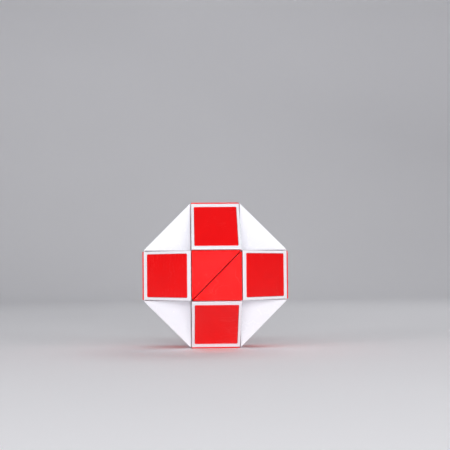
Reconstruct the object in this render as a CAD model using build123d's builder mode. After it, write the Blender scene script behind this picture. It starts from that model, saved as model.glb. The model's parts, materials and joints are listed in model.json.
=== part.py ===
from build123d import *

import os
from math import sqrt

# Twisty snake puzzle, folded into its ball.
#
# Twenty-four identical right-angled wedges form a chain. Red bodied and white bodied wedges take
# turns. Each joint turns about the axis through the middle of two square faces: a screw is fixed
# in the white wedge, passes through the red wedge's wall, and a spring under its head pulls the
# two faces together. The slope of each wedge is closed by a cover in the other colour.
#
# The ball fills a grid of three cells each way: the twelve edge cells hold one white wedge each,
# the six face cells hold two red wedges each, and the eight corners and the middle stay empty.
#
# Units are millimetres, +Z is up, the front is -Y, and the origin is under the ball's middle,
# on the surface that it stands on.

# The wedge
pitch = 23.0  # side of one cell, and leg of one wedge
side_gap = 0.30  # between the triangular faces of neighbours
joint_gap = 0.30  # between the square faces of neighbours
slope_gap = 0.30  # between the two slopes that share a face cell
wall = 1.8  # walls of a shell
edge_round = 0.3  # outer edges of a shell

# The cover of the slope
end_border = 2.6  # shell beyond the cover, at the slope's two sharp edges
seat_ledge = 0.45  # what the cover rests on along its other two edges
cover_thickness = 1.4
cover_round = 0.35  # outer edge of a cover
cover_corner = 0.6  # corners of a cover, seen flat on
seam = 0.06  # between a cover and its seat, all round
rail_depth = 1.2  # two locating rails on the back of a cover, along the triangular walls
rail_thickness = 1.1
rail_clearance = 0.12  # between the rails and the shell

# Square faces
recess_border = 3.85  # round the shallow square recess in the middle of each square face
recess_depth = 0.5
hub_radius = 4.2  # round hub in the recess
click_rib_width = 1.0  # four ribs on a white hub
click_rib_height = 0.1
click_clearance = 0.1  # from those ribs to the red hub, at any angle
click_groove_play = 0.2
click_groove_depth = 0.35
click_inner_radius = 2.4

# Screw and its boss
screw_radius = 1.25  # over the thread
thread_bite = 0.15  # how far the thread cuts into the boss
head_overhang = 0.95  # head beyond the thread
head_height = 1.4
head_round = 0.6
head_clearance = 0.46  # from the head to the cover's back
drive_margin = 0.3  # from the cross recess to the head's rounded edge
drive_width = 0.55
drive_depth = 0.7
tip_length = 1.0
tip_radius = 0.42
boss_wall = 1.35  # round the thread
boss_clearance = 0.15  # from the boss to the cover's back
boss_spare = 0.7  # boss beyond the screw's tip
rib_thickness = 1.0  # ribs that tie a boss to the triangular walls
rib_height = 2.6

# Washer and spring
running_clearance = 0.08  # screw in the red wedge's bore
washer_overhang = 0.15  # washer beyond the screw's head
washer_thickness = 0.4
washer_play = 0.12  # washer round the screw
stack_gap = 0.05  # between the screw's head, the washer and the spring
spring_clearance = 0.53  # from the screw to the wire
spring_wire = 0.22  # radius of the wire
coil_gap = 0.15  # between the turns of a spring
spring_seat_gap = 0.10  # from the spring to the red wall
cup_clearance = 0.35  # from the spring to the cup round its foot
cup_thickness = 0.8
cup_height = 1.2

# The fold: the sense of the quarter turn at each joint. The last one closes the ring, where the
# two ends of the chain only meet.
fold = (-1, -1, 1, -1, 1, 1, -1, 1) * 3
first_cell = Vector(0, 0, -1)
first_in = Vector(0, 1, 0)  # from the first wedge to the far end of the chain
first_out = Vector(1, 0, 0)  # from the first wedge to the second

wedge_width = pitch - side_gap  # across the two triangular faces
half_width = wedge_width / 2
inner_half_width = half_width - wall
half = pitch / 2
leg = half - joint_gap / 2  # from the cell's middle to a square face
inner_leg = leg - wall
slope = slope_gap / 2  # from the cell's middle to the slope
cover_back = slope + cover_thickness  # from the cell's middle to the back of a cover's plate
cover_length = 2 * (sqrt(2) * leg - slope - end_border)
cover_width = 2 * (inner_half_width + seat_ledge)
recess_side = wedge_width - 2 * recess_border

head_radius = screw_radius + head_overhang
washer_radius = head_radius + washer_overhang
spring_radius = screw_radius + spring_clearance + spring_wire  # to the middle of the wire
boss_radius = screw_radius + boss_wall
boss_end = sqrt(2) * (cover_back + boss_clearance) + boss_radius  # from the cell's middle
boss_length = leg - boss_end
screw_engagement = boss_length + joint_gap / 2 - boss_spare  # past the joint's middle plane

# Heights over the joint's middle plane, into the red wedge
head_top = half - sqrt(2) * (cover_back + head_clearance) - head_radius
head_seat = head_top - head_height
washer_seat = head_seat - stack_gap - washer_thickness
spring_top = washer_seat - stack_gap
spring_seat = joint_gap / 2 + wall + spring_seat_gap

ball_centre = Vector(0, 0, pitch + half_width)

# A wedge in its own frame: +X is its square face towards the wedge before it, +Y its square face
# towards the wedge after it, and the slope faces between -X and -Y.
face_in = Plane(origin=(leg, 0, 0), x_dir=(0, 1, 0), z_dir=(1, 0, 0))
face_out = Plane(origin=(0, leg, 0), x_dir=(1, 0, 0), z_dir=(0, 1, 0))
slope_face = Plane(
    origin=(slope / sqrt(2), slope / sqrt(2), 0), x_dir=(1, -1, 0), z_dir=(-1, -1, 0)
)


def wedge_outline(leg_at, slope_at):
    """The wedge's right triangle, with its legs and its slope at these distances."""
    across = sqrt(2) * slope_at
    with BuildSketch() as outline:
        with BuildLine():
            Polyline(
                (leg_at, leg_at), (across - leg_at, leg_at), (leg_at, across - leg_at), close=True
            )
        make_face()
    return outline.sketch


def make_shell(screwed):
    """A wedge's shell: screwed has bosses for the screws, and the other has bores and spring cups."""
    with BuildPart() as shell:
        with BuildSketch(Plane.XY.offset(-half_width)):
            add(wedge_outline(leg, slope))
        extrude(amount=wedge_width)
        fillet(shell.edges(), edge_round)
        with BuildSketch(Plane.XY.offset(-inner_half_width)):
            add(wedge_outline(inner_leg, -pitch))
        extrude(amount=2 * inner_half_width, mode=Mode.SUBTRACT)
        with BuildSketch(slope_face):
            RectangleRounded(cover_length + 2 * seam, cover_width + 2 * seam, cover_corner + seam)
        extrude(amount=-cover_thickness, mode=Mode.SUBTRACT)
        for face in (face_in, face_out):
            with BuildSketch(face):
                Rectangle(recess_side, recess_side)
                Circle(hub_radius, mode=Mode.SUBTRACT)
            extrude(amount=-recess_depth, mode=Mode.SUBTRACT)
            if screwed:
                add_screw_boss(face)
            else:
                add_spring_cup(face)
    return shell.part


def click_marks(face, width):
    """Four radial bars on a hub, one for each quarter turn."""
    with BuildSketch(face) as bars:
        Rectangle(2 * hub_radius, width)
        Rectangle(width, 2 * hub_radius)
        Circle(hub_radius, mode=Mode.INTERSECT)
        Circle(click_inner_radius, mode=Mode.SUBTRACT)
    return bars.sketch


def disc(face, radius, inner_radius=0):
    """A round profile, or a ring, in the middle of a face."""
    with BuildSketch(face) as profile:
        Circle(radius)
        if inner_radius:
            Circle(inner_radius, mode=Mode.SUBTRACT)
    return profile.sketch


def add_screw_boss(face):
    """White wedge, one square face: hub with click ribs, and the boss that the screw bites into."""
    hub_lift = joint_gap - click_clearance - click_rib_height
    extrude(disc(face, hub_radius), amount=hub_lift)
    extrude(click_marks(face.offset(hub_lift), click_rib_width), amount=click_rib_height)
    extrude(disc(face.offset(-boss_length), boss_radius), amount=boss_length - wall / 2)
    with BuildSketch(face.offset(-wall - rib_height)) as rib:
        Rectangle(rib_thickness, wedge_width - wall)
    extrude(rib.sketch, amount=rib_height + wall / 2)
    top = face.offset(hub_lift)
    pilot = disc(top, screw_radius - thread_bite)
    extrude(pilot, amount=-boss_length - hub_lift, mode=Mode.SUBTRACT)


def add_spring_cup(face):
    """Red wedge, one square face: hub with click grooves, the screw's bore and the spring's cup."""
    groove_width = click_rib_width + click_groove_play
    cup_inner = spring_radius + spring_wire + cup_clearance
    extrude(click_marks(face, groove_width), amount=-click_groove_depth, mode=Mode.SUBTRACT)
    cup = disc(face.offset(-wall), cup_inner + cup_thickness, cup_inner)
    extrude(cup, amount=-cup_height)
    extrude(disc(face, screw_radius + running_clearance), amount=-wall, mode=Mode.SUBTRACT)


def make_cover():
    """A slope's cover: a flush plate, with two rails on its back that find the shell's opening."""
    rail_length = 2 * (sqrt(2) * inner_leg - cover_back - rail_depth - rail_clearance)
    rail_at = inner_half_width - rail_clearance - rail_thickness / 2
    with BuildPart() as cover:
        with BuildSketch(slope_face.offset(-cover_thickness)):
            RectangleRounded(cover_length, cover_width, cover_corner)
        extrude(amount=cover_thickness)
        outer = cover.faces().filter_by(slope_face).sort_by(Axis((0, 0, 0), (-1, -1, 0)))[-1]
        fillet(outer.edges(), cover_round)
        with BuildSketch(slope_face.offset(-cover_thickness)):
            with Locations((0, -rail_at), (0, rail_at)):
                Rectangle(rail_length, rail_thickness)
        extrude(amount=-rail_depth)
    return cover.part


def make_screw():
    """Screw along +Z, its head in the red wedge, measured from the joint's middle plane."""
    thread_end = tip_length - screw_engagement
    drive_length = 2 * (head_radius - head_round - drive_margin)
    with BuildPart() as screw:
        with BuildSketch(Plane.XY.offset(thread_end)):
            Circle(screw_radius)
        extrude(amount=head_seat - thread_end)
        with BuildSketch(Plane.XY.offset(thread_end)):
            Circle(screw_radius)
        with BuildSketch(Plane.XY.offset(-screw_engagement)):
            Circle(tip_radius)
        loft()
        with BuildSketch(Plane.XY.offset(head_seat)):
            Circle(head_radius)
        extrude(amount=head_height)
        top = screw.faces().sort_by(Axis.Z)[-1]
        fillet(top.edges(), head_round)
        with BuildSketch(Plane.XY.offset(head_top)):
            Rectangle(drive_length, drive_width)
            Rectangle(drive_width, drive_length)
        extrude(amount=-drive_depth, mode=Mode.SUBTRACT)
    return screw.part


def make_washer():
    """Washer under the screw's head."""
    with BuildPart() as washer:
        with BuildSketch(Plane.XY.offset(washer_seat)):
            Circle(washer_radius)
            Circle(screw_radius + washer_play, mode=Mode.SUBTRACT)
        extrude(amount=washer_thickness)
    return washer.part


def make_spring():
    """Compression spring between the red wall and the washer."""
    wire_thickness = 2 * spring_wire
    rise = spring_top - spring_seat - wire_thickness
    with BuildPart() as spring:
        with BuildLine() as coil:
            Helix(
                pitch=wire_thickness + coil_gap,
                height=rise,
                radius=spring_radius,
                center=(0, 0, spring_seat + spring_wire),
            )
        with BuildSketch(Plane(origin=coil.line @ 0, z_dir=coil.line % 0)):
            Circle(spring_wire)
        sweep(is_frenet=True)
    return spring.part


def chain():
    """Each wedge's frame in the ball, in order along the chain."""
    frames = []
    cell, towards_last, towards_next = first_cell, first_in, first_out
    for sense in fold:
        across = towards_last.cross(towards_next)
        frames.append(Plane(ball_centre + cell * pitch, x_dir=towards_last, z_dir=across))
        cell, towards_last, towards_next = cell + towards_next, -towards_next, across * sense
    return frames


def place(name, pieces, frame):
    """One node: copies of these pieces in a wedge's frame, written under the node's name."""
    with BuildPart() as node:
        with Locations(frame.location):
            for piece in pieces:
                add(piece)
    node.part.label = name
    export_step(node.part, f"parts/{name}.step")


def main():
    os.makedirs("parts", exist_ok=True)
    red_shell = make_shell(screwed=False)
    white_shell = make_shell(screwed=True)
    cover = make_cover()
    joint_set = [make_screw(), make_washer(), make_spring()]
    joint_planes = [face_in.offset(joint_gap / 2), face_out.offset(joint_gap / 2)]
    frames = chain()
    for number, frame in enumerate(frames, start=1):
        is_red = number % 2 == 1
        body, other = ("red", "white") if is_red else ("white", "red")
        place(f"wedge_{number:02d}_{body}_shell", [red_shell if is_red else white_shell], frame)
        place(f"wedge_{number:02d}_{other}_cover", [cover], frame)
        if is_red:
            continue
        joints = joint_planes if number < len(frames) else joint_planes[:1]
        screws = [piece.moved(joint.location) for joint in joints for piece in joint_set]
        place(f"wedge_{number:02d}_joint_screws", screws, frame)


main()
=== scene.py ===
import json
import math
import random

import bmesh
import bpy
from mathutils import Matrix, Vector

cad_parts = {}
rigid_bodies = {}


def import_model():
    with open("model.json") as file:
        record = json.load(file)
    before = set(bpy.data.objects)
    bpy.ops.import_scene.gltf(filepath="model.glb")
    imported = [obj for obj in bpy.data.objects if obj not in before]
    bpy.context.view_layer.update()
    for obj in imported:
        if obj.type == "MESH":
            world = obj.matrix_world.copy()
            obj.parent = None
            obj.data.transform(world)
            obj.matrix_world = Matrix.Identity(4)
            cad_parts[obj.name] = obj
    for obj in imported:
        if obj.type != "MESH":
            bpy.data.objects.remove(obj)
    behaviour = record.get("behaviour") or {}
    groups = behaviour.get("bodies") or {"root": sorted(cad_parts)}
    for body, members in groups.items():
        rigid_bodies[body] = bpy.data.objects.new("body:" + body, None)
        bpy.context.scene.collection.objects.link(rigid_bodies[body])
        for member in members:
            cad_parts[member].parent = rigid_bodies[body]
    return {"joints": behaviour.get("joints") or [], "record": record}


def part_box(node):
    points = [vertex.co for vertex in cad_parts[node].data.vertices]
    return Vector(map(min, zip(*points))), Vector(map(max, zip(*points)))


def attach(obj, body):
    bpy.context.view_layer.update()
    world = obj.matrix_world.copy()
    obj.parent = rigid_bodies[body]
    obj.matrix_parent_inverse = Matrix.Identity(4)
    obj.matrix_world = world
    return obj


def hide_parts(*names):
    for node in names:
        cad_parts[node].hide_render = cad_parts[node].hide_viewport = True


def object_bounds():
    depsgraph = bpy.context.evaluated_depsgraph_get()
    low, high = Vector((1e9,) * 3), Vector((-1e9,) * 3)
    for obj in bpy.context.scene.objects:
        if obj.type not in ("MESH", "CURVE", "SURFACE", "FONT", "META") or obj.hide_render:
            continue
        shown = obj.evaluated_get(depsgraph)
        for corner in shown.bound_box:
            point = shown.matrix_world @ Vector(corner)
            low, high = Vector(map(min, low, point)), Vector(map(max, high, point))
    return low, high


# Looks for the twisty snake puzzle: moulded shells and covers in glossy ABS, and plated screws,
# washers and springs. Each kind of piece is made once in a wedge's own frame, in millimetres, and
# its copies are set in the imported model's frame. In a wedge's frame +X and +Y point out of its two
# square faces, the slope faces between -X and -Y, and Z runs across its triangular faces.

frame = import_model()
cad_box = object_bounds()
MM = 0.001

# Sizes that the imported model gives
BODIES = frame["record"]["behaviour"]["bodies"]


def node_of(body, ending):
    """The body's CAD node whose name ends like this, or None."""
    return next((n for n in BODIES[body] if n.endswith(ending)), None)


def middle_and_size(corners):
    """The middle and the size of a box, in millimetres."""
    low, high = corners
    return (low + high) / 2 / MM, (high - low) / MM


BALL_MIDDLE, BALL_SIZE = middle_and_size(cad_box)
WIDTH = max(middle_and_size(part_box(node_of("wedge_01", "_shell")))[1])  # across triangular faces
PITCH = (BALL_SIZE.x - WIDTH) / 2  # side of one cell of the ball's grid

# The shell
JOINT_GAP = 0.30
SLOPE_GAP = 0.30
WALL = 1.8
EDGE_ROUND = 0.3
LIP_ROUND = 0.12  # round the opening for the cover, and round a recess
LEG = (PITCH - JOINT_GAP) / 2  # from the cell's middle to a square face
SLOPE = SLOPE_GAP / 2  # from the cell's middle to the slope
INNER_LEG = LEG - WALL
INNER_HALF_WIDTH = WIDTH / 2 - WALL

# The cover
END_BORDER = 2.6  # shell beyond the cover, at the slope's two sharp edges
SEAT_LEDGE = 0.45  # what the cover rests on along its other two edges
COVER_THICKNESS = 1.4
COVER_BACK = SLOPE + COVER_THICKNESS  # from the cell's middle to the back of the plate
COVER_LENGTH = 2 * (math.sqrt(2) * LEG - SLOPE - END_BORDER)
COVER_WIDTH = 2 * (INNER_HALF_WIDTH + SEAT_LEDGE)
COVER_CORNER = 0.6
COVER_ROUND = 0.35
SEAM = 0.06
RAIL_DEPTH = 1.2
RAIL_THICKNESS = 1.1
RAIL_CLEARANCE = 0.12
RAIL_LENGTH = 2 * (math.sqrt(2) * INNER_LEG - COVER_BACK - RAIL_DEPTH - RAIL_CLEARANCE)
RAIL_AT = INNER_HALF_WIDTH - RAIL_CLEARANCE - RAIL_THICKNESS / 2
CROWN = 0.05  # how much lower the plate is at its edges than in its middle
SINK = 0.012  # depth of the sink mark over each rail
SINK_WIDTH = 0.9

# The square faces
RECESS_BORDER = 3.85
RECESS_SIDE = WIDTH - 2 * RECESS_BORDER
RECESS_DEPTH = 0.5
RECESS_CORNER = 0.4
HUB_RADIUS = 4.2
HUB_LIFT = 0.1
CLICK_RIB_WIDTH = 1.0
CLICK_RIB_HEIGHT = 0.1
CLICK_GROOVE_WIDTH = 1.2
CLICK_GROOVE_DEPTH = 0.35
CLICK_INNER_RADIUS = 2.4

# The screw, washer and spring, and what holds them
SCREW_RADIUS = 1.25
THREAD_DEPTH = 0.28
THREAD_PITCH = 0.8
HEAD_RADIUS = 2.2
HEAD_CLEARANCE = 0.46  # from the head to the cover's back
HEAD_HEIGHT = 1.4
HEAD_ROUND = 0.6
HEAD_UNDER_ROUND = 0.05
DRIVE_LENGTH = 2.6
DRIVE_WIDTH = 0.55
DRIVE_DEPTH = 0.7
TIP_LENGTH = 1.0
TIP_RADIUS = 0.42
BORE_RADIUS = 1.33
PILOT_RADIUS = 1.10
BOSS_RADIUS = 2.6
BOSS_CLEARANCE = 0.15  # from the boss to the cover's back
BOSS_SPARE = 0.7  # boss beyond the screw's tip
BOSS_LENGTH = LEG - math.sqrt(2) * (COVER_BACK + BOSS_CLEARANCE) - BOSS_RADIUS
RIB_THICKNESS = 1.0
RIB_HEIGHT = 2.6
WASHER_RADIUS = 2.35
WASHER_THICKNESS = 0.4
WASHER_HOLE = 1.37
WASHER_ROUND = 0.06
STACK_GAP = 0.05
SPRING_RADIUS = 2.0
SPRING_WIRE = 0.22
COIL_GAP = 0.15
SPRING_SEAT_GAP = 0.10  # from the spring to the red wall
CUP_INNER = 2.57
CUP_THICKNESS = 0.8
CUP_HEIGHT = 1.2

# Heights over a joint's middle plane, into the red wedge
HEAD_TOP = PITCH / 2 - math.sqrt(2) * (COVER_BACK + HEAD_CLEARANCE) - HEAD_RADIUS
HEAD_SEAT = HEAD_TOP - HEAD_HEIGHT
WASHER_SEAT = HEAD_SEAT - STACK_GAP - WASHER_THICKNESS
SPRING_TOP = WASHER_SEAT - STACK_GAP
SPRING_SEAT = JOINT_GAP / 2 + WALL + SPRING_SEAT_GAP
SCREW_REACH = BOSS_LENGTH + JOINT_GAP / 2 - BOSS_SPARE  # past the joint's middle plane

ROUND_STEPS = 4  # faces across a rounded edge
TURN_STEPS = 48  # faces round a turned piece
SHARP_ANGLE = math.radians(32)  # edges that turn more than this stay sharp
COVER_GRID = (22, 26)  # faces along and across a cover's plate, so that it can be crowned
THREAD_STEPS, THREAD_ROWS = 24, 72  # faces round and along the screw
THREAD_FLANK = 1.6  # how steeply the thread's ridge rises, so that flat core is left between
WIRE_STEPS, COIL_STEPS = 10, 28  # faces round the spring's wire, and along one turn
OVERCUT = 0.5  # how far a cutting shape runs past the surface that it opens


# Frames within a wedge


def axes_frame(x_axis, y_axis, origin):
    """The matrix from a frame with these two axes, and the one square to both, to the wedge's."""
    turned = Matrix((x_axis, y_axis, x_axis.cross(y_axis))).transposed().to_4x4()
    return Matrix.Translation(origin) @ turned


def face_frame(outward):
    """Z out of a square face, and X across the triangular faces, with 0 in the face's plane."""
    across = Vector((0, 0, 1))
    return axes_frame(across, outward.cross(across), outward * LEG)


def slope_frame():
    """X along the slope, Y across the triangular faces, Z out of the slope, 0 in its plane."""
    outward = Vector((-1, -1, 0)).normalized()
    along = Vector((1, -1, 0)).normalized()
    return axes_frame(along, outward.cross(along), -outward * SLOPE)


FACES = [face_frame(Vector((1, 0, 0))), face_frame(Vector((0, 1, 0)))]
SLOPE_FACE = slope_frame()


# Mesh building


def polygon_inset(corners, distance):
    """A convex polygon, anticlockwise, with each side moved inwards by distance."""
    inset = []
    for i, corner in enumerate(corners):
        before = (corner - corners[i - 1]).normalized()
        after = (corners[(i + 1) % len(corners)] - corner).normalized()
        bisector = (after - before).normalized()
        inset.append(corner + bisector * distance / abs(before.cross(bisector)))
    return inset


def rounded_outline(corners, radius):
    """A convex polygon's outline, anticlockwise, with arcs of this radius at its corners."""
    points = []
    for i, centre in enumerate(polygon_inset(corners, radius)):
        before = (corners[i] - corners[i - 1]).normalized()
        after = (corners[(i + 1) % len(corners)] - corners[i]).normalized()
        start = math.atan2(-before.x, before.y)
        turn = before.angle(after)
        for k in range(ROUND_STEPS + 1):
            angle = start + turn * k / ROUND_STEPS
            points.append(centre + radius * Vector((math.cos(angle), math.sin(angle))))
    return points


def rim(height, radius, side):
    """(height, inset) layers of a rounded rim, upwards: side is 1 for an upper rim and -1 for a
    lower one. A negative radius flares the rim outwards."""
    layers = []
    for k in range(ROUND_STEPS + 1):
        a = math.pi / 2 * k / ROUND_STEPS
        layers.append((height - side * abs(radius) * (1 - math.sin(a)), radius * (1 - math.cos(a))))
    return layers[::side]


def skin(loops, ring=False):
    """A closed mesh through loops of as many points each, with capped ends or joined as a ring."""
    mesh = bmesh.new()
    rows = [[mesh.verts.new(p) for p in loop] for loop in loops]
    pairs = list(zip(rows, rows[1:]))
    if ring:
        pairs.append((rows[-1], rows[0]))
    else:
        mesh.faces.new(rows[0][::-1])
        mesh.faces.new(rows[-1])
    for low, high in pairs:
        for k in range(len(low)):
            mesh.faces.new((low[k - 1], low[k], high[k], high[k - 1]))
    bmesh.ops.remove_doubles(mesh, verts=mesh.verts, dist=1e-4)
    bmesh.ops.recalc_face_normals(mesh, faces=mesh.faces)
    return mesh


def prism(corners, layers, corner=0.0):
    """A prism along Z on a convex polygon, through (height, inset) layers, anticlockwise. Its
    upright edges are rounded by corner, less each layer's inset."""
    loops = []
    for height, inset in layers:
        outline = rounded_outline(polygon_inset(corners, inset), max(corner - inset, 0.0))
        loops.append([Vector((p.x, p.y, height)) for p in outline])
    return skin(loops)


def rectangle(length, width, middle=(0.0, 0.0)):
    """A rectangle's corners, anticlockwise."""
    x, y = length / 2, width / 2
    return [Vector(middle) + Vector(c) for c in ((-x, -y), (x, -y), (x, y), (-x, y))]


def lathe(profile, steps=TURN_STEPS):
    """A solid turned about Z from (radius, height) points. It is a ring if the profile starts
    away from the axis."""
    turns = [2 * math.pi * k / steps for k in range(steps)]
    loops = [[Vector((r * math.cos(a), r * math.sin(a), z)) for a in turns] for r, z in profile]
    return skin(loops, ring=profile[0][0] > 0)


def rod(radius, low, high, round_low=0.0, round_high=0.0):
    """A round bar along Z with rounded ends."""
    layers = rim(low, round_low, -1) + rim(high, round_high, 1)
    return lathe([(0, low), *((radius - inset, z) for z, inset in layers), (0, high)])


def as_object(mesh, matrix=None):
    """A working object from a bmesh."""
    data = bpy.data.meshes.new("work")
    mesh.to_mesh(data)
    mesh.free()
    if matrix:
        data.transform(matrix)
    made = bpy.data.objects.new("work", data)
    bpy.context.scene.collection.objects.link(made)
    return made


def applied(made):
    """The object's mesh with its modifiers applied, which the object then has."""
    bpy.context.view_layer.update()
    evaluated = made.evaluated_get(bpy.context.evaluated_depsgraph_get())
    old = made.data
    made.data = bpy.data.meshes.new_from_object(evaluated)
    made.modifiers.clear()
    bpy.data.meshes.remove(old)
    return made.data


def combine(body, mesh, matrix, operation):
    """Joins a bmesh to the body, or cuts it away."""
    tool = as_object(mesh, matrix)
    step = body.modifiers.new("step", "BOOLEAN")
    step.operation = operation
    step.solver = "EXACT"
    step.object = tool
    applied(body)
    data = tool.data
    bpy.data.objects.remove(tool)
    bpy.data.meshes.remove(data)


def join(body, mesh, matrix=None):
    """Joins a bmesh to the body."""
    combine(body, mesh, matrix, "UNION")


def cut(body, mesh, matrix=None):
    """Cuts a bmesh away from the body."""
    combine(body, mesh, matrix, "DIFFERENCE")


def finished(body, name, wear):
    """The body's mesh with smooth rounded edges and flat faces, and wear from 0 to 1 painted
    where wear(point) says. The working object is removed."""
    for face in body.data.polygons:
        face.use_smooth = True
    body.data.set_sharp_from_angle(angle=SHARP_ANGLE)
    weighted = body.modifiers.new("flat faces", "WEIGHTED_NORMAL")
    weighted.keep_sharp = True
    weighted.weight = 100
    data = applied(body)
    data.name = name
    painted = data.attributes.new("wear", "FLOAT", "POINT")
    painted.data.foreach_set("value", [wear(v.co) for v in data.vertices])
    bpy.data.objects.remove(body)
    return data


def edge_wear(distances, radius):
    """1 in the middle of a rounded edge and 0 where it meets its two faces, from the distances to
    the surfaces that meet there."""
    near, second = sorted(distances)[:2]
    return max(0.0, 1 - (second - near) / radius)


# The mouldings


def wedge_corners(leg, slope):
    """The wedge's right triangle, anticlockwise, with its legs and its slope at these distances."""
    across = math.sqrt(2) * slope
    return [Vector((leg, leg)), Vector((across - leg, leg)), Vector((leg, across - leg))]


def click_bars(width, low, high):
    """Four radial bars on a hub."""
    bars = as_object(prism(rectangle(4 * HUB_RADIUS, width), rim(low, 0, -1) + rim(high, 0, 1)))
    join(bars, prism(rectangle(width, 4 * HUB_RADIUS), rim(low, 0, -1) + rim(high, 0, 1)))
    combine(bars, rod(HUB_RADIUS - LIP_ROUND, low - OVERCUT, high + OVERCUT), None, "INTERSECT")
    cut(bars, rod(CLICK_INNER_RADIUS, low - OVERCUT, high + OVERCUT))
    mesh = bmesh.new()
    mesh.from_mesh(bars.data)
    bpy.data.objects.remove(bars)
    return mesh


def shell_wear(point):
    """Wear on the outer edges of a shell."""
    distances = [
        LEG - point.x,
        LEG - point.y,
        (point.x + point.y) / math.sqrt(2) - SLOPE,
        WIDTH / 2 - abs(point.z),
    ]
    return edge_wear([max(d, 0.0) for d in distances], EDGE_ROUND)


def make_shell(name, screwed):
    """A wedge's shell: screwed has the screws' bosses, and the other has bores and spring cups."""
    upright = rim(-WIDTH / 2, EDGE_ROUND, -1) + rim(WIDTH / 2, EDGE_ROUND, 1)
    shell = as_object(prism(wedge_corners(LEG, SLOPE), upright, EDGE_ROUND))
    hollow = rim(-INNER_HALF_WIDTH, EDGE_ROUND, -1) + rim(INNER_HALF_WIDTH, EDGE_ROUND, 1)
    cut(shell, prism(wedge_corners(INNER_LEG, -PITCH), hollow, EDGE_ROUND))
    seat = [(-COVER_THICKNESS, 0.0), *rim(0.0, -LIP_ROUND, 1), (OVERCUT, -LIP_ROUND)]
    opening = rectangle(COVER_LENGTH + 2 * SEAM, COVER_WIDTH + 2 * SEAM)
    cut(shell, prism(opening, seat, COVER_CORNER + SEAM), SLOPE_FACE)
    recess = [(-RECESS_DEPTH, 0.0), *rim(0.0, -LIP_ROUND, 1), (OVERCUT, -LIP_ROUND)]
    for face in FACES:
        cut(shell, prism(rectangle(RECESS_SIDE, RECESS_SIDE), recess, RECESS_CORNER), face)
        if screwed:
            add_screw_boss(shell, face)
        else:
            add_spring_cup(shell, face)
    return finished(shell, name, shell_wear)


def add_screw_boss(shell, face):
    """White shell, one square face: the hub with its click ribs, and the boss for the screw."""
    join(shell, rod(HUB_RADIUS, -WALL / 2, HUB_LIFT, 0.0, LIP_ROUND), face)
    ribs = click_bars(CLICK_RIB_WIDTH, HUB_LIFT - CLICK_RIB_HEIGHT, HUB_LIFT + CLICK_RIB_HEIGHT)
    join(shell, ribs, face)
    tie = rim(-WALL - RIB_HEIGHT, LIP_ROUND, -1) + rim(-WALL / 2, 0.0, 1)
    join(shell, prism(rectangle(WIDTH - WALL, RIB_THICKNESS), tie), face)
    join(shell, rod(BOSS_RADIUS, -BOSS_LENGTH, -WALL / 2, LIP_ROUND, 0.0), face)
    cut(shell, rod(PILOT_RADIUS, -BOSS_LENGTH - OVERCUT, HUB_LIFT + OVERCUT), face)


def add_spring_cup(shell, face):
    """Red shell, one square face: the hub with its click grooves, the bore and the spring cup."""
    join(shell, rod(HUB_RADIUS, -WALL / 2, 0.0, 0.0, LIP_ROUND), face)
    cut(shell, click_bars(CLICK_GROOVE_WIDTH, -CLICK_GROOVE_DEPTH, OVERCUT), face)
    join(shell, rod(CUP_INNER + CUP_THICKNESS, -WALL - CUP_HEIGHT, -WALL / 2, LIP_ROUND, 0.0), face)
    cut(shell, rod(CUP_INNER, -WALL - CUP_HEIGHT - OVERCUT, -WALL), face)
    cut(shell, rod(BORE_RADIUS, -WALL - OVERCUT, OVERCUT), face)


def cover_wear(point):
    """Wear on the outer edge of a cover, in the slope's frame."""
    distances = [
        abs(point.z),
        COVER_LENGTH / 2 - abs(point.x),
        COVER_WIDTH / 2 - abs(point.y),
    ]
    return edge_wear([max(d, 0.0) for d in distances], COVER_ROUND)


def plate_height(x, y):
    """How far the plate's outer face lies below its middle: a slight crown, and a sink mark over
    each rail."""
    u, v = 2 * x / COVER_LENGTH, 2 * y / COVER_WIDTH
    crown = CROWN * (1 - (1 - u * u) * (1 - v * v))
    sink = SINK * math.exp(-(((abs(y) - RAIL_AT) / SINK_WIDTH) ** 2))
    ends = min(1.0, max(0.0, (RAIL_LENGTH / 2 - abs(x)) / SINK_WIDTH))
    return crown + sink * ends


def grid_cuts(mesh, axis, half, count):
    """Cuts the whole mesh by planes square to an axis, evenly spaced, so that it can bend."""
    normal = Vector([float(i == axis) for i in range(3)])
    for k in range(1, count):
        at = normal * half * (2 * k / count - 1)
        everything = mesh.verts[:] + mesh.edges[:] + mesh.faces[:]
        bmesh.ops.bisect_plane(mesh, geom=everything, plane_co=at, plane_no=normal)


def make_cover(name):
    """A slope's cover: a slightly crowned plate with a rounded edge, and two rails on its back."""
    layers = [(-COVER_THICKNESS, 0.0), *rim(0.0, COVER_ROUND, 1)]
    plate = prism(rectangle(COVER_LENGTH, COVER_WIDTH), layers, COVER_CORNER)
    grid_cuts(plate, 0, COVER_LENGTH / 2, COVER_GRID[0])
    grid_cuts(plate, 1, COVER_WIDTH / 2, COVER_GRID[1])
    for v in plate.verts:
        share = 1 + v.co.z / COVER_THICKNESS
        v.co.z -= share * plate_height(v.co.x, v.co.y)
    cover = as_object(plate)
    rail = rim(-COVER_THICKNESS - RAIL_DEPTH, LIP_ROUND, -1) + rim(-COVER_THICKNESS / 2, 0.0, 1)
    for side in (-1, 1):
        outline = rectangle(RAIL_LENGTH, RAIL_THICKNESS, (0.0, side * RAIL_AT))
        join(cover, prism(outline, rail, LIP_ROUND))
    data = finished(cover, name, cover_wear)
    data.transform(SLOPE_FACE)
    return data


# The screw, washer and spring of one joint, along +Z from its middle plane into the red wedge


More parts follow.
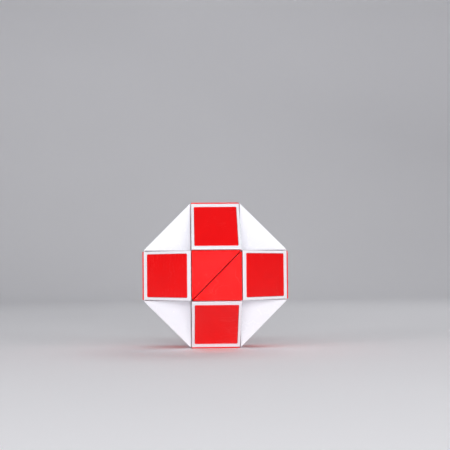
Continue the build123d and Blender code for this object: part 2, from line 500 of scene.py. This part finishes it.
def thread_radius(angle, height):
    """The shank's radius: a thread that fades at the tip and under the head."""
    low, high = -SCREW_REACH + TIP_LENGTH / 2, JOINT_GAP / 2 - HUB_LIFT
    fade = min(1.0, max(0.0, (height - low) / THREAD_PITCH))
    fade = min(fade, max(0.0, (high - height) / THREAD_PITCH))
    turn = (height / THREAD_PITCH - angle / (2 * math.pi)) % 1.0
    ridge = max(0.0, 1 - abs(2 * turn - 1) * THREAD_FLANK)
    core = SCREW_RADIUS - THREAD_DEPTH
    taper = min(1.0, (height + SCREW_REACH) / TIP_LENGTH)
    body = TIP_RADIUS + (core - TIP_RADIUS) * taper
    plain = SCREW_RADIUS if height > high else body
    return max(plain, body + THREAD_DEPTH * ridge * fade)


def make_screw():
    """Pan head screw with a cross recess and a thread for plastic."""
    loops = []
    for row in range(THREAD_ROWS + 1):
        z = -SCREW_REACH + (SCREW_REACH + HEAD_SEAT + HEAD_ROUND / 2) * row / THREAD_ROWS
        turns = [2 * math.pi * k / THREAD_STEPS for k in range(THREAD_STEPS)]
        radii = [thread_radius(a, z) for a in turns]
        loops.append([Vector((r * math.cos(a), r * math.sin(a), z)) for r, a in zip(radii, turns)])
    screw = as_object(skin(loops))
    join(screw, rod(HEAD_RADIUS, HEAD_SEAT, HEAD_TOP, HEAD_UNDER_ROUND, HEAD_ROUND))
    slot = rim(HEAD_TOP - DRIVE_DEPTH, 0.0, -1) + rim(HEAD_TOP + OVERCUT, 0.0, 1)
    cut(screw, prism(rectangle(DRIVE_LENGTH, DRIVE_WIDTH), slot))
    cut(screw, prism(rectangle(DRIVE_WIDTH, DRIVE_LENGTH), slot))
    return screw


def make_washer():
    """Flat washer with rounded rims."""
    layers = rim(WASHER_SEAT, WASHER_ROUND, -1)
    layers += rim(WASHER_SEAT + WASHER_THICKNESS, WASHER_ROUND, 1)
    profile = [(WASHER_RADIUS - inset, z) for z, inset in layers]
    profile += [(WASHER_HOLE + inset, z) for z, inset in layers[::-1]]
    return lathe(profile)


def make_spring():
    """Compression spring of round wire."""
    low, high = SPRING_SEAT + SPRING_WIRE, SPRING_TOP - SPRING_WIRE
    turns = (high - low) / (2 * SPRING_WIRE + COIL_GAP)
    count = round(turns * COIL_STEPS)
    loops = []
    for k in range(count + 1):
        a = 2 * math.pi * turns * k / count
        out = Vector((math.cos(a), math.sin(a), 0))
        up = Vector((0, 0, 1))
        middle = out * SPRING_RADIUS + up * (low + (high - low) * k / count)
        around = [2 * math.pi * j / WIRE_STEPS for j in range(WIRE_STEPS)]
        loops.append(
            [middle + SPRING_WIRE * (out * math.cos(b) + up * math.sin(b)) for b in around]
        )
    return skin(loops)


def make_joint_set():
    """One joint's screw, washer and spring as one mesh of separate solids."""
    joined = as_object(bmesh.new())
    parts = [make_screw(), as_object(make_washer()), as_object(make_spring())]
    mesh = bmesh.new()
    for part in parts:
        mesh.from_mesh(part.data)
        bpy.data.objects.remove(part)
    mesh.to_mesh(joined.data)
    mesh.free()
    return finished(joined, "joint_set", lambda point: 0.0)


# Materials


class Nodes:
    """Short ways to add and link shader nodes."""

    def __init__(self, name):
        self.material = bpy.data.materials.new(name)
        self.material.use_nodes = True
        self.tree = self.material.node_tree
        self.surface = self.tree.nodes["Principled BSDF"]
        self.place = self.add("ShaderNodeTexCoord").outputs["Object"]

    def add(self, kind, inputs=None, **settings):
        """A node with these settings; each input is a number, a colour or another's output."""
        node = self.tree.nodes.new(kind)
        for key, value in settings.items():
            setattr(node, key, value)
        for key, value in (inputs or {}).items():
            self.feed(node.inputs[key], value)
        return node

    def feed(self, socket, value):
        if isinstance(value, bpy.types.NodeSocket):
            self.tree.links.new(value, socket)
        else:
            socket.default_value = value

    def noise(self, scale, detail=2.0, stretch=None, distortion=0.0):
        """Noise with features of about 1 / scale metres, drawn out along stretch's small axes."""
        place = self.place
        if stretch:
            mapping = self.add("ShaderNodeMapping", {"Vector": place, "Scale": stretch[0]})
            mapping.inputs["Rotation"].default_value = stretch[1]
            place = mapping.outputs["Vector"]
        inputs = {"Vector": place, "Scale": scale, "Detail": detail, "Distortion": distortion}
        return self.add("ShaderNodeTexNoise", inputs).outputs["Fac"]

    def painted(self, name):
        return self.add("ShaderNodeAttribute", attribute_name=name).outputs["Fac"]

    def remap(self, value, low, high, to_low=0.0, to_high=1.0):
        """value from low..high to to_low..to_high, held at both ends."""
        inputs = {"Value": value, 1: low, 2: high, 3: to_low, 4: to_high}
        return self.add("ShaderNodeMapRange", inputs).outputs["Result"]

    def math(self, operation, first, second):
        inputs = {0: first, 1: second}
        return self.add("ShaderNodeMath", inputs, operation=operation).outputs["Value"]

    def mix(self, share, first, second):
        """A colour between two others."""
        node = self.add("ShaderNodeMix", data_type="RGBA")
        for index, value in ((0, share), (6, first), (7, second)):
            self.feed(node.inputs[index], value)
        return node.outputs[2]

    def bump(self, height, distance, below=None):
        """Relief of this depth in metres, over another relief."""
        inputs = {"Height": height, "Distance": distance, "Strength": 1.0}
        if below:
            inputs["Normal"] = below
        return self.add("ShaderNodeBump", inputs).outputs["Normal"]

    def scratches(self, scale, width, angle):
        """Fine straight hairlines along one direction, 0 or 1."""
        lines = self.noise(scale, 3.0, ((1.0, 26.0, 1.0), (0.3, 0.2, angle)), 0.15)
        off = self.math("ABSOLUTE", self.math("SUBTRACT", lines, 0.5), 0.0)
        patches = self.remap(self.noise(scale * 0.7), 0.52, 0.62)
        return self.math("MULTIPLY", self.remap(off, 0.0, width, 1.0, 0.0), patches)


def moulded_plastic(name, colour, deep, worn, roughness, specular):
    """Glossy ABS: even colour with a faint flow of the pigment, softly worn edges, hairline
    scratches, and the slight orange peel and waviness of a moulding."""
    n = Nodes(name)
    flow = n.remap(n.noise(95.0, 4.0, ((1.0, 0.45, 1.0), (0.2, 0.5, 0.1)), 0.8), 0.3, 0.75)
    piece = n.painted("seed")
    depth = n.math("ADD", n.math("MULTIPLY", flow, 0.55), n.math("MULTIPLY", piece, 0.45))
    body = n.mix(depth, colour, deep)
    rubbed = n.math("MULTIPLY", n.painted("wear"), n.remap(n.noise(420.0, 5.0), 0.42, 0.68))
    n.feed(n.surface.inputs["Base Color"], n.mix(n.math("MULTIPLY", rubbed, 0.5), body, worn))
    hairlines = n.math("ADD", n.scratches(70.0, 0.012, 0.7), n.scratches(90.0, 0.010, -0.9))
    matt = n.remap(n.noise(260.0, 6.0), 0.35, 0.75, roughness - 0.03, roughness + 0.05)
    matt = n.math("ADD", matt, n.math("MULTIPLY", rubbed, 0.16))
    matt = n.math("ADD", matt, n.math("MULTIPLY", hairlines, 0.22))
    n.feed(n.surface.inputs["Roughness"], matt)
    relief = n.bump(n.noise(70.0, 1.0), 0.00016)
    relief = n.bump(n.noise(1500.0, 2.0), 0.0000022, relief)
    relief = n.bump(hairlines, -0.000006, relief)
    n.feed(n.surface.inputs["Normal"], relief)
    n.surface.inputs["IOR"].default_value = 1.53
    n.surface.inputs["Specular IOR Level"].default_value = specular
    return n.material


def plated_steel(name):
    """Zinc-plated steel: faint blue and yellow bands, a fine grain and small dull spots."""
    n = Nodes(name)
    bands = n.remap(n.noise(600.0, 2.0, None, 1.5), 0.35, 0.7)
    tint = n.mix(bands, (0.60, 0.62, 0.66, 1.0), (0.68, 0.65, 0.56, 1.0))
    spots = n.remap(n.noise(2600.0, 4.0), 0.55, 0.7)
    dulled = n.mix(n.math("MULTIPLY", spots, 0.35), tint, (0.35, 0.35, 0.36, 1.0))
    n.feed(n.surface.inputs["Base Color"], dulled)
    n.surface.inputs["Metallic"].default_value = 1.0
    matt = n.remap(n.noise(1800.0, 5.0), 0.3, 0.75, 0.22, 0.38)
    n.feed(n.surface.inputs["Roughness"], matt)
    n.feed(n.surface.inputs["Normal"], n.bump(n.noise(3000.0, 3.0), 0.000004))
    return n.material


def studio_paper(name):
    """Matt pale paper for the floor and the backdrop."""
    n = Nodes(name)
    cloud = n.remap(n.noise(3.0, 3.0), 0.3, 0.7)
    paper = n.mix(cloud, (0.90, 0.90, 0.92, 1.0), (0.93, 0.93, 0.95, 1.0))
    n.feed(n.surface.inputs["Base Color"], paper)
    n.feed(n.surface.inputs["Roughness"], n.remap(n.noise(40.0, 3.0), 0.3, 0.7, 0.80, 0.92))
    n.feed(n.surface.inputs["Normal"], n.bump(n.noise(900.0, 3.0), 0.00003))
    return n.material


# Placing


def wedge_frame(body):
    """The matrix from a wedge's own frame, in millimetres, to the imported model's, in metres."""
    shell_middle, _ = middle_and_size(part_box(node_of(body, "_shell")))
    cover_middle, _ = middle_and_size(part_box(node_of(body, "_cover")))
    cell = Vector([round(d / PITCH) for d in shell_middle - BALL_MIDDLE])
    cell_middle = BALL_MIDDLE + cell * PITCH
    # The slope runs through the cell's middle, so the cover behind it lies towards the corner
    # between the two square faces, and level with the middle of the width.
    inwards = cover_middle - cell_middle
    square_axes = sorted(sorted(range(3), key=lambda i: abs(inwards[i]))[1:])
    axes = [
        Vector([math.copysign(i == axis, inwards[i]) for i in range(3)]) for axis in square_axes
    ]
    return Matrix.Scale(MM, 4) @ axes_frame(*axes, cell_middle)


def place(name, data, matrix, body, node, slot, material, seed):
    """One piece: a copy of a mesh that stands for a CAD node and rides on its body."""
    mesh = data.copy()
    mesh.name = name
    mesh.transform(matrix)
    painted = mesh.attributes.new("seed", "FLOAT", "POINT")
    painted.data.foreach_set("value", [seed] * len(mesh.vertices))
    mesh.materials.clear()
    mesh.materials.append(material)
    piece = bpy.data.objects.new(name, mesh)
    bpy.context.scene.collection.objects.link(piece)
    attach(piece, body)
    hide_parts(node)
    return piece


def joint_frames(body):
    """The frames of a white wedge's joints, each with Z out of it into its red neighbour."""
    cell_middle = wedge_frame(body).translation
    frames = []
    for joint in frame["joints"]:
        if body not in (joint["parent"], joint["child"]):
            continue
        at = Vector(joint["pos_m"])
        outward = (at - cell_middle).normalized()
        side = Vector((outward.y, outward.z, outward.x))
        turned = Matrix((side, outward.cross(side), outward)).transposed().to_4x4()
        frames.append(Matrix.Translation(at) @ turned @ Matrix.Scale(MM, 4))
    return frames


def joined_copies(data, matrices, name):
    """One mesh of copies of another."""
    mesh = bmesh.new()
    for matrix in matrices:
        copy = data.copy()
        copy.transform(matrix)
        mesh.from_mesh(copy)
        bpy.data.meshes.remove(copy)
    made = bpy.data.meshes.new(name)
    mesh.to_mesh(made)
    mesh.free()
    return made


def build_puzzle():
    """Every wedge's shell, cover and joint sets."""
    red = moulded_plastic(
        "red_abs",
        colour=(0.90, 0.001, 0.002, 1.0),
        deep=(0.80, 0.001, 0.002, 1.0),
        worn=(0.90, 0.05, 0.05, 1.0),
        roughness=0.20,
        specular=0.35,
    )
    white = moulded_plastic(
        "white_abs",
        colour=(0.88, 0.88, 0.92, 1.0),
        deep=(0.84, 0.84, 0.89, 1.0),
        worn=(0.80, 0.80, 0.84, 1.0),
        roughness=0.24,
        specular=0.5,
    )
    steel = plated_steel("zinc_plate")
    plastics = {"red": (red, "red_plastic"), "white": (white, "white_plastic")}
    shells = {"red": make_shell("red_shell", False), "white": make_shell("white_shell", True)}
    cover = make_cover("cover")
    joint_set = make_joint_set()
    draw = random.Random(24)
    for body in sorted(BODIES):
        matrix = wedge_frame(body)
        for kind in ("shell", "cover"):
            node = node_of(body, "_" + kind)
            colour = node.split("_")[2]
            material, slot = plastics[colour]
            data = shells[colour] if kind == "shell" else cover
            name = f"{body}_{colour}_{kind}_moulding"
            place(name, data, matrix, body, node, slot, material, draw.random())
        node = node_of(body, "_joint_screws")
        if node:
            data = joined_copies(joint_set, joint_frames(body), "joint_sets")
            name = f"{body}_screws_and_springs"
            place(name, data, Matrix(), body, node, "zinc_steel", steel, 0.0)


# Stage, lights and camera


def build_stage():
    """A pale floor that sweeps up into a backdrop."""
    near, curve_start, sweep, top, half_width = -1.6, 0.75, 0.35, 1.4, 2.2
    profile = [(near, 0.0), (curve_start, 0.0)]
    for k in range(1, 17):
        a = math.pi / 2 * k / 16
        profile.append((curve_start + sweep * math.sin(a), sweep * (1 - math.cos(a))))
    profile.append((curve_start + sweep, top))
    mesh = bmesh.new()
    rows = [[mesh.verts.new((x, y, z)) for x in (-half_width, half_width)] for y, z in profile]
    for low, high in zip(rows, rows[1:]):
        mesh.faces.new((low[0], low[1], high[1], high[0])).smooth = True
    data = bpy.data.meshes.new("studio_sweep")
    mesh.to_mesh(data)
    mesh.free()
    data.materials.append(studio_paper("studio_paper"))
    sweep_piece = bpy.data.objects.new("studio_sweep", data)
    bpy.context.scene.collection.objects.link(sweep_piece)


def add_softbox(name, at, size, power, colour=(1.0, 1.0, 1.0)):
    """A soft area light that faces the ball."""
    light = bpy.data.lights.new(name, "AREA")
    light.shape = "RECTANGLE"
    light.size, light.size_y = size
    light.energy = power
    light.color = colour
    lamp = bpy.data.objects.new(name, light)
    target = BALL_MIDDLE * MM
    lamp.location = at
    lamp.rotation_euler = (target - Vector(at)).to_track_quat("-Z", "Y").to_euler()
    bpy.context.scene.collection.objects.link(lamp)
    return lamp


def build_lights():
    """Softboxes above, beside and behind the ball, a wide fill behind the camera, and an even pale
    surround. The fill lights the faces but isn't mirrored in them."""
    add_softbox("upper_softbox", (0.0, -0.50, 0.62), (0.70, 0.28), 1.0)
    add_softbox("left_softbox", (-0.62, -0.52, 0.14), (0.30, 0.60), 1.9, (0.98, 0.98, 1.0))
    add_softbox("right_softbox", (0.62, -0.52, 0.14), (0.30, 0.60), 1.7, (1.0, 0.98, 0.99))
    add_softbox("back_softbox", (0.25, 0.55, 0.70), (0.60, 0.40), 1.6)
    fill = add_softbox("front_fill", (0.0, -0.95, 0.13), (0.60, 0.22), 5.2)
    fill.visible_glossy = False
    world = bpy.data.worlds.new("surround")
    world.use_nodes = True
    background = world.node_tree.nodes["Background"]
    background.inputs["Color"].default_value = (0.93, 0.93, 1.0, 1.0)
    background.inputs["Strength"].default_value = 0.18
    bpy.context.scene.world = world


def build_camera():
    """An 85 mm lens half a metre in front of the ball, a little to its left and looking down."""
    lens = bpy.data.cameras.new("camera")
    lens.lens = 85.0
    lens.sensor_width = 36.0
    lens.clip_start = 0.01
    camera = bpy.data.objects.new("camera", lens)
    away = Vector((-14.9, -513.2, 2.8))
    pitch, roll, yaw = (math.radians(a) for a in (-2.38, -0.48, 2.22))
    turned = Matrix.Rotation(pitch, 3, "X") @ Matrix.Rotation(roll, 3, "Y")
    right, forward, up = turned @ Matrix.Rotation(yaw, 3, "Z")
    basis = Matrix((right, up, -forward)).transposed().to_4x4()
    camera.matrix_world = Matrix.Translation((BALL_MIDDLE + away) * MM) @ basis
    bpy.context.scene.collection.objects.link(camera)
    bpy.context.scene.camera = camera


build_camera()
build_stage()
build_lights()
build_puzzle()
bpy.context.scene.view_settings.view_transform = "Standard"
